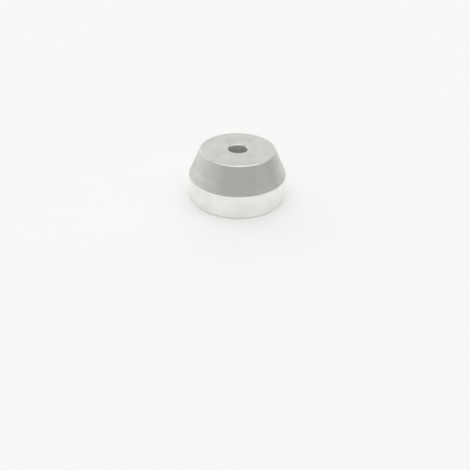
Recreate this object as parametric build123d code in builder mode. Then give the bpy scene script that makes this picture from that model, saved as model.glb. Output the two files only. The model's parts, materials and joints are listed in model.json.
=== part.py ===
from build123d import *
import os

# A turned aluminium spindle adapter, made in one piece.
# It stands on its foot: the origin is the foot's centre, +Z runs up the bore.
# All sizes are in millimetres.

# Straight wall, a little under the 38.1 mm centre hole that it fills
WALL_DIAMETER = 38.0
WALL_HEIGHT = 9.5

# Lead-in cone above the wall, measured to its sharp upper corner
CONE_TOP_DIAMETER = 28.9
CONE_HEIGHT = 10.2

# Bore, a running fit on a turntable spindle 7.2 mm across
BORE_DIAMETER = 7.3

# Broken edges, each the width of a 45 degree chamfer
TOP_RIM_CHAMFER = 0.3
FOOT_RIM_CHAMFER = 0.4
BORE_TOP_CHAMFER = 0.4
BORE_LEAD_IN = 0.6

# Corner left by the cutting tool where the cone meets the wall
SHOULDER_RADIUS = 0.2

total_height = WALL_HEIGHT + CONE_HEIGHT
wall_radius = WALL_DIAMETER / 2
cone_top_radius = CONE_TOP_DIAMETER / 2

with BuildPart() as adapter_body:
    # Half section: foot, straight wall, cone and top face, turned about the bore's axis
    with BuildSketch(Plane.XZ):
        with BuildLine():
            Polyline(
                (0, 0),
                (wall_radius, 0),
                (wall_radius, WALL_HEIGHT),
                (cone_top_radius, total_height),
                (0, total_height),
                close=True,
            )
        make_face()
    revolve(axis=Axis.Z)

    # Spindle bore, straight through
    Hole(radius=BORE_DIAMETER / 2)

    # Circular edges by height: the foot's two, the shoulder, the top face's two
    levels = adapter_body.edges().filter_by(GeomType.CIRCLE).group_by(Axis.Z)
    foot_bore_edge, foot_rim_edge = levels[0].sort_by(SortBy.RADIUS)
    shoulder_edge = levels[1]
    top_bore_edge, top_rim_edge = levels[2].sort_by(SortBy.RADIUS)

    chamfer(top_rim_edge, TOP_RIM_CHAMFER)
    chamfer(foot_rim_edge, FOOT_RIM_CHAMFER)
    chamfer(top_bore_edge, BORE_TOP_CHAMFER)
    chamfer(foot_bore_edge, BORE_LEAD_IN)
    fillet(shoulder_edge, SHOULDER_RADIUS)

adapter_body.part.label = "adapter_body"

os.makedirs("parts", exist_ok=True)
export_step(adapter_body.part, "parts/adapter_body.step")
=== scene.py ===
import json
import math

import bpy
from mathutils import Matrix, Vector


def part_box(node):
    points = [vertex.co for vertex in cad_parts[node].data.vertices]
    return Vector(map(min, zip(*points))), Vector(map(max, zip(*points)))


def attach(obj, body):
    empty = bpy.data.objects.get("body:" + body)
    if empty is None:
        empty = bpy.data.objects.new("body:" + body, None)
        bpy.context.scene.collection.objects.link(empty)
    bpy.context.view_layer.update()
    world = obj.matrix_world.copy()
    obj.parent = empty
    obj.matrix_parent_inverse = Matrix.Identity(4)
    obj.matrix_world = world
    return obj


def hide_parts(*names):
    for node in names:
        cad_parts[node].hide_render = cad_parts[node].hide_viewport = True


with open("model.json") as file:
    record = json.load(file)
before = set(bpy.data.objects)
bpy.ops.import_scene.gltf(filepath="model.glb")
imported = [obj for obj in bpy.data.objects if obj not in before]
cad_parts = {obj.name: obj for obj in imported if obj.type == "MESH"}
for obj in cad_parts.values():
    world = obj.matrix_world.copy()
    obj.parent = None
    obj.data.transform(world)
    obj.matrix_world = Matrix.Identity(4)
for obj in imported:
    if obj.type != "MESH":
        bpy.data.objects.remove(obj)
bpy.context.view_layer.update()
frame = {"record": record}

# The millimetre in metres
MM = 0.001


def mount_radius_and_ends(name):
    """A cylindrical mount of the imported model: its radius, lower end and upper end."""
    mount = next(mount for mount in frame["record"]["mounts"] if mount["name"] == name)
    middle = mount["pos_m"][2]
    half = mount["dims"]["length_mm"] * MM / 2
    return mount["dims"]["r_mm"] * MM, middle - half, middle + half


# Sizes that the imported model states. The wall's mount starts where the foot's chamfer ends,
# and the bore's runs from the lead-in to the upper chamfer.
NODE = "adapter_body"
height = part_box(NODE)[1].z
wall_radius, foot_chamfer, _ = mount_radius_and_ends("centring_wall")
bore_radius, bore_lead_in, bore_top = mount_radius_and_ends("spindle_bore")
bore_chamfer = height - bore_top

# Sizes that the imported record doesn't state, the same as in its solid
SHOULDER_HEIGHT = 9.5 * MM
SHOULDER_ROUND = 0.2 * MM
CONE_TOP_RADIUS = 14.45 * MM
RIM_CHAMFER = 0.3 * MM

# The turned mesh: the small round on each edge, its steps, and the steps round the axis
EDGE_ROUND = 0.05 * MM
ARC_STEPS = 4
TURN_STEPS = 512

# How far from an edge the mesh measures, and the wear there: the distances at which it is
# full and at which it has gone, and the size and depth of the patches that fray its border
EDGE_REACH = 1.0 * MM
WEAR_FULL = 0.2 * MM
WEAR_GONE = 0.5 * MM
WEAR_PATCH = 0.7 * MM
WEAR_FRAY = 0.5 * MM

# What the finishes share: the broad clouds, the fine grain, the part of a noise's range that
# is stretched from 0 to 1, and the turn that stretches highlights across the rings
CLOUD_SIZE = 5.0 * MM
GRAIN_SIZE = 0.17 * MM
NOISE_RANGE = (0.3, 0.7)
QUARTER_TURN = 0.25

# The floor: half its side, the size of its grain and that grain's two colours
FLOOR_REACH = 3.0
FLOOR_GRAIN = 1.1 * MM
FLOOR_COLOURS = ((0.90, 0.90, 0.895), (0.94, 0.94, 0.935))

# The camera stands where the photographer did, measured from the centre of the foot
CAMERA_PLACE = Vector((-0.50, -171.82, 101.94)) * MM
CAMERA_ELEVATION = 35.55
CAMERA_ROLL = 1.05
SENSOR_WIDTH = 36.0
FOCAL_LENGTH = 37.70

# The room's light, where 1 is a white card in full light: its darkest, on the viewer's side,
# the level at the horizon, and what whitens the floor where it is seen or mirrored
FRONT_LEVEL = 0.365
HORIZON_LEVEL = 0.935
FLOOR_LIFT = 0.16

# The soft lights in the room: azimuth from the viewer to the right, elevation, the angles from
# the middle at which it is still full and at which it has faded out, and what it adds
ROOM_LIGHTS = (
    (198, 0, 45, 75, 0.61),   # the bright wall behind the adapter
    (284, 14, 5, 40, 0.22),   # on the left
    (0, 80, 15, 50, 0.86),    # overhead
    (100, 42, 8, 30, 0.50),   # on the right
)

# A dark flag low on the right, given in the same way
DARK_FLAG = (110, 2, 0, 40, -0.38)

# The sine of the elevation at which the horizon's level has faded into the room's
HORIZON_FADE = 0.32


class Shading:
    """The node tree of a material or of the world, with short ways to add to it."""

    def __init__(self, owner):
        self.owner = owner
        owner.use_nodes = True
        self.tree = owner.node_tree
        self.tree.nodes.clear()

    def add(self, kind, inputs, **settings):
        """A node with its settings made and its inputs linked or set."""
        made = self.tree.nodes.new("ShaderNode" + kind)
        for name, value in settings.items():
            setattr(made, name, value)
        for name, value in inputs.items():
            if isinstance(value, bpy.types.NodeSocket):
                self.tree.links.new(value, made.inputs[name])
            else:
                made.inputs[name].default_value = value
        return made

    def node(self, kind, inputs, output=0, **settings):
        """One output of a new node."""
        return self.add(kind, inputs, **settings).outputs[output]

    def math(self, operation, *values):
        return self.node("Math", dict(enumerate(values)), operation=operation)

    def weighted(self, *pairs):
        """The sum of values, each times its weight."""
        total = 0.0
        for value, weight in pairs:
            total = self.math("MULTIPLY_ADD", value, weight, total)
        return total

    def fade(self, value, low, high, at_low, at_high):
        """Goes smoothly from one level to another while the value goes from low to high."""
        inputs = {"Value": value, "From Min": low, "From Max": high}
        inputs |= {"To Min": at_low, "To Max": at_high}
        return self.node("MapRange", inputs, interpolation_type="SMOOTHSTEP")

    def mix(self, share, first, second):
        """A colour that goes from the first to the second as the share goes from 0 to 1."""
        inputs = {"Fac": share, "Color1": (*first, 1), "Color2": (*second, 1)}
        return self.node("MixRGB", inputs)

    def coordinates(self, kind):
        return self.node("TexCoord", {}, output=kind)

    def noise(self, vector, size, detail=3.0):
        """Soft random patches of one size, in the vector's own unit."""
        inputs = {"Vector": vector, "Scale": 1 / size, "Detail": detail}
        return self.node("TexNoise", inputs)

    def attribute(self, name):
        return self.node("Attribute", {}, output="Fac", attribute_name=name)

    def towards(self, direction):
        """In the world: 1 along a direction, 0 square to it and -1 away from it."""
        inputs = {0: self.coordinates("Generated"), 1: direction}
        return self.node("VectorMath", inputs, output="Value", operation="DOT_PRODUCT")

    def glow(self, azimuth, elevation, core, reach, level):
        """In the world: a soft round light, with its angles in degrees."""
        edge, full = (math.cos(math.radians(angle)) for angle in (reach, core))
        towards = self.towards(sky_direction(azimuth, elevation))
        return self.fade(towards, edge, full, 0.0, level)

    def round_the_axis(self, pitch, drift):
        """Where a point lies for marks that run round the axis: one pitch apart along the turned
        outline, and changing by the drift on their way round."""
        place = self.coordinates("Object")
        x, y = (self.node("SeparateXYZ", {0: place}, output=axis) for axis in (0, 1))
        angle = self.math("ARCTAN2", y, x)
        steps = self.math("DIVIDE", self.attribute("along"), pitch)
        east = self.math("MULTIPLY", self.math("COSINE", angle), drift)
        north = self.math("MULTIPLY", self.math("SINE", angle), drift)
        return self.node("CombineXYZ", {"X": steps, "Y": east, "Z": north})

    def seen(self, level):
        """A level for rays from the camera, from a mirror and through glass, and 0 for the rest."""
        kinds = ("Is Camera Ray", "Is Glossy Ray", "Is Transmission Ray")
        rays = [(self.node("LightPath", {}, output=kind), level) for kind in kinds]
        return self.math("MINIMUM", self.weighted(*rays), level)

    def finish(self, shader):
        """Joins the shader to the output and hands back the material or world."""
        kind = "World" if isinstance(self.owner, bpy.types.World) else "Material"
        self.add("Output" + kind, {"Surface": shader})
        return self.owner


def turned_finish(name, bright, dull, smooth, rough, cloud, rings, grain, pitch, ring_depth,
                  drift=0.9, ring_band=NOISE_RANGE, grain_depth=0.0, worn=0.0, anisotropic=0.0):
    """Bare turned metal. It goes from bright and smooth to dull and rough by three patterns, each
    with its own weight: broad clouds, rings left by the tool, and fine grain. Its edges may be
    worn smoother, and its highlights stretched across the rings."""
    s = Shading(bpy.data.materials.new(name))
    place = s.coordinates("Object")
    clouds = s.fade(s.noise(place, CLOUD_SIZE), *NOISE_RANGE, 0.0, 1.0)
    ring_noise = s.noise(s.round_the_axis(pitch, drift), 1.0)
    ring_marks = s.fade(ring_noise, *ring_band, 0.0, 1.0)
    grains = s.fade(s.noise(place, GRAIN_SIZE, 1.0), *NOISE_RANGE, 0.0, 1.0)
    dullness = s.weighted((clouds, cloud), (ring_marks, rings), (grains, grain))

    fray = s.noise(place, WEAR_PATCH)
    from_edge = s.weighted((fray, WEAR_FRAY), (s.attribute("from_edge"), 1.0))
    near_edge = s.fade(from_edge, WEAR_FULL, WEAR_GONE, 1.0, 0.0)
    roughness = s.weighted((dullness, rough - smooth), (near_edge, -worn), (1.0, smooth))
    relief = s.weighted((ring_marks, -ring_depth), (grains, grain_depth))
    return s.finish(s.node("BsdfPrincipled", {
        "Base Color": s.mix(dullness, bright, dull),
        "Metallic": 1.0,
        "Roughness": roughness,
        "Anisotropic": anisotropic,
        "Anisotropic Rotation": QUARTER_TURN,
        "Tangent": s.node("Tangent", {}, direction_type="RADIAL", axis="Z"),
        "Normal": s.node("Bump", {"Height": relief, "Distance": 1.0}),
    }))


# Each kind of surface on the adapter
FINISHES = {
    # The cone and the top: an even satin over faint turning marks
    "satin": dict(
        name="satin_aluminium",
        bright=(0.72, 0.728, 0.681), dull=(0.58, 0.588, 0.548), smooth=0.28, rough=0.50,
        cloud=0.35, rings=0.25, grain=0.40,
        pitch=0.55 * MM, ring_depth=0.003 * MM, grain_depth=0.004 * MM, worn=0.10,
        anisotropic=0.35,
    ),
    # The straight wall: a polish with hairlines round it and the faint haze of handling
    "polished": dict(
        name="polished_aluminium",
        bright=(0.92, 0.923, 0.878), dull=(0.73, 0.733, 0.693), smooth=0.08, rough=0.34,
        cloud=0.30, rings=0.70, grain=0.0, ring_band=(0.45, 0.75),
        pitch=0.14 * MM, drift=0.10, ring_depth=0.0014 * MM,
        anisotropic=0.85,
    ),
    # The narrow chamfers on the edges, cut bright
    "bright": dict(
        name="bright_cut_aluminium",
        bright=(0.80, 0.805, 0.765), dull=(0.70, 0.705, 0.67), smooth=0.24, rough=0.42,
        cloud=0.4, rings=0.4, grain=0.2,
        pitch=0.06 * MM, ring_depth=0.0006 * MM,
    ),
    # The reamed bore: close rings left by the tool, the dullest of all
    "bored": dict(
        name="bored_aluminium",
        bright=(0.90, 0.905, 0.87), dull=(0.80, 0.805, 0.77), smooth=0.45, rough=0.65,
        cloud=0.3, rings=0.6, grain=0.1,
        pitch=0.35 * MM, ring_depth=0.006 * MM,
        anisotropic=0.4,
    ),
    # The underside, faced across in one cut: even rings from the bore to the rim
    "faced": dict(
        name="faced_aluminium",
        bright=(0.82, 0.825, 0.79), dull=(0.70, 0.705, 0.67), smooth=0.22, rough=0.42,
        cloud=0.35, rings=0.55, grain=0.1,
        pitch=0.30 * MM, ring_depth=0.006 * MM, worn=0.08,
        anisotropic=0.5,
    ),
}


def turned_section():
    """The half section's corners, anticlockwise from the bore's foot: radius, height, rounding,
    and the finish of the run that follows."""
    slant = Vector((wall_radius - CONE_TOP_RADIUS, SHOULDER_HEIGHT - height)).normalized()
    rim_foot = Vector((CONE_TOP_RADIUS, height)) + slant * RIM_CHAMFER
    return [
        (bore_radius + bore_lead_in, 0.0, EDGE_ROUND, "faced"),
        (wall_radius - foot_chamfer, 0.0, EDGE_ROUND, "bright"),
        (wall_radius, foot_chamfer, EDGE_ROUND, "polished"),
        (wall_radius, SHOULDER_HEIGHT, SHOULDER_ROUND, "satin"),
        (rim_foot.x, rim_foot.y, EDGE_ROUND, "bright"),
        (CONE_TOP_RADIUS - RIM_CHAMFER, height, EDGE_ROUND, "satin"),
        (bore_radius + bore_chamfer, height, EDGE_ROUND, "bright"),
        (bore_radius, height - bore_chamfer, EDGE_ROUND, "bored"),
        (bore_radius, bore_lead_in, EDGE_ROUND, "bright"),
    ]


def outline_points(section):
    """The closed outline with every corner rounded: (place, normal, distance from an edge,
    finish of what follows). All its corners are convex."""
    corners = [Vector(row[:2]) for row in section]
    runs = [corners[(i + 1) % len(corners)] - corner for i, corner in enumerate(corners)]
    normals = [Vector((run.y, -run.x)).normalized() for run in runs]
    points = []
    for i, corner in enumerate(corners):
        rounding, finish = section[i][2:]
        finish_before = section[i - 1][3]
        before, after = normals[i - 1], normals[i]
        outwards = (before + after).normalized()
        centre = corner - outwards * rounding / outwards.dot(after)
        # A round beside a chamfer is bright as well, and the shoulder's goes with the wall
        edge_finish = "bright" if finish == "bright" else finish_before
        for step in range(ARC_STEPS + 1):
            normal = before.slerp(after, step / ARC_STEPS)
            follows = finish if step == ARC_STEPS else edge_finish
            points.append((centre + normal * rounding, normal, 0.0, follows))
        length = runs[i].length
        stops = [length / 2]
        if length > 2 * EDGE_REACH:
            stops = [EDGE_REACH, length - EDGE_REACH]
        for stop in stops:
            place = corner + runs[i] * stop / length
            points.append((place, after, min(stop, EDGE_REACH), finish))
    # Where the list closes, the length along it jumps back to 0: that falls inside a round
    return points[1:] + points[:1]


def turned_mesh(name, points):
    """Turns the outline about the axis, with exact normals and the two lengths that the
    finishes read: along the outline, and from the nearest edge."""
    vertices, normals, along, from_edge = [], [], [], []
    travelled = 0.0
    for i, (place, normal, edge, _) in enumerate(points):
        if i:
            travelled += (place - points[i - 1][0]).length
        for step in range(TURN_STEPS):
            angle = 2 * math.pi * step / TURN_STEPS
            east, north = math.cos(angle), math.sin(angle)
            vertices.append((place.x * east, place.x * north, place.y))
            normals.append((normal.x * east, normal.x * north, normal.y))
            along.append(travelled)
            from_edge.append(edge)
    faces, finishes = [], []
    for i, point in enumerate(points):
        ring, above = i * TURN_STEPS, (i + 1) % len(points) * TURN_STEPS
        finish = list(FINISHES).index(point[3])
        for step in range(TURN_STEPS):
            following = (step + 1) % TURN_STEPS
            faces.append((ring + step, ring + following, above + following, above + step))
            finishes.append(finish)
    mesh = bpy.data.meshes.new(name)
    mesh.from_pydata(vertices, [], faces)
    mesh.polygons.foreach_set("material_index", finishes)
    mesh.polygons.foreach_set("use_smooth", [True] * len(faces))
    for label, values in (("along", along), ("from_edge", from_edge)):
        mesh.attributes.new(label, "FLOAT", "POINT").data.foreach_set("value", values)
    mesh.normals_split_custom_set_from_vertices(normals)
    return mesh


def add_adapter():
    """The adapter as one turned piece, in place of its plain solid."""
    mesh = turned_mesh("turned_adapter", outline_points(turned_section()))
    for finish in FINISHES.values():
        mesh.materials.append(turned_finish(**finish))
    adapter = bpy.data.objects.new("turned_adapter", mesh)
    bpy.context.scene.collection.objects.link(adapter)
    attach(adapter, "root")
    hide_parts(NODE)


def add_floor():
    """A wide pale floor with a hardly visible grain, whitened where it is seen or mirrored."""
    signs = ((-1, -1), (1, -1), (1, 1), (-1, 1))
    corners = [(x * FLOOR_REACH, y * FLOOR_REACH, 0.0) for x, y in signs]
    mesh = bpy.data.meshes.new("floor")
    mesh.from_pydata(corners, [], [(0, 1, 2, 3)])
    s = Shading(bpy.data.materials.new("pale_floor"))
    grain = s.noise(s.coordinates("Object"), FLOOR_GRAIN)
    shader = s.node("BsdfPrincipled", {
        "Base Color": s.mix(grain, *FLOOR_COLOURS),
        "Roughness": 0.9,
        "Specular IOR Level": 0.0,
        "Emission Color": (1, 1, 1, 1),
        "Emission Strength": s.seen(FLOOR_LIFT),
    })
    mesh.materials.append(s.finish(shader))
    floor = bpy.data.objects.new("floor", mesh)
    bpy.context.scene.collection.objects.link(floor)


def sky_direction(azimuth, elevation):
    """Azimuth 0 is the viewer's side and 90 the right, in degrees."""
    across, up = math.radians(azimuth), math.radians(elevation)
    level = math.cos(up)
    return Vector((math.sin(across) * level, -math.cos(across) * level, math.sin(up)))


def add_world():
    """A soft plain room, as pale as the floor where it meets it, but for one dark flag."""
    s = Shading(bpy.data.worlds.new("studio"))
    up = Vector((0.0, 0.0, 1.0))
    above_horizon = s.fade(s.towards(up), 0.0, HORIZON_FADE, 0.0, 1.0)
    lights = [(s.glow(*light), 1.0) for light in ROOM_LIGHTS]
    rise = s.weighted((1.0, FRONT_LEVEL - HORIZON_LEVEL), *lights)
    level = s.math("MULTIPLY_ADD", rise, above_horizon, HORIZON_LEVEL)
    level = s.math("ADD", level, s.glow(*DARK_FLAG))
    background = s.node("Background", {"Color": (1, 1, 1, 1), "Strength": level})
    bpy.context.scene.world = s.finish(background)


def add_camera():
    """The photograph's own view: its place, its downward look, its slight roll and its lens."""
    data = bpy.data.cameras.new("camera")
    data.sensor_width = SENSOR_WIDTH
    data.lens = FOCAL_LENGTH
    data.clip_start = 1 * MM
    camera = bpy.data.objects.new("camera", data)
    look = Matrix.Rotation(math.radians(90 - CAMERA_ELEVATION), 4, "X")
    roll = Matrix.Rotation(math.radians(CAMERA_ROLL), 4, "Z")
    camera.matrix_world = Matrix.Translation(CAMERA_PLACE) @ look @ roll
    bpy.context.scene.collection.objects.link(camera)
    bpy.context.scene.camera = camera


add_adapter()
add_floor()
add_world()
add_camera()
bpy.context.scene.view_settings.view_transform = "Standard"
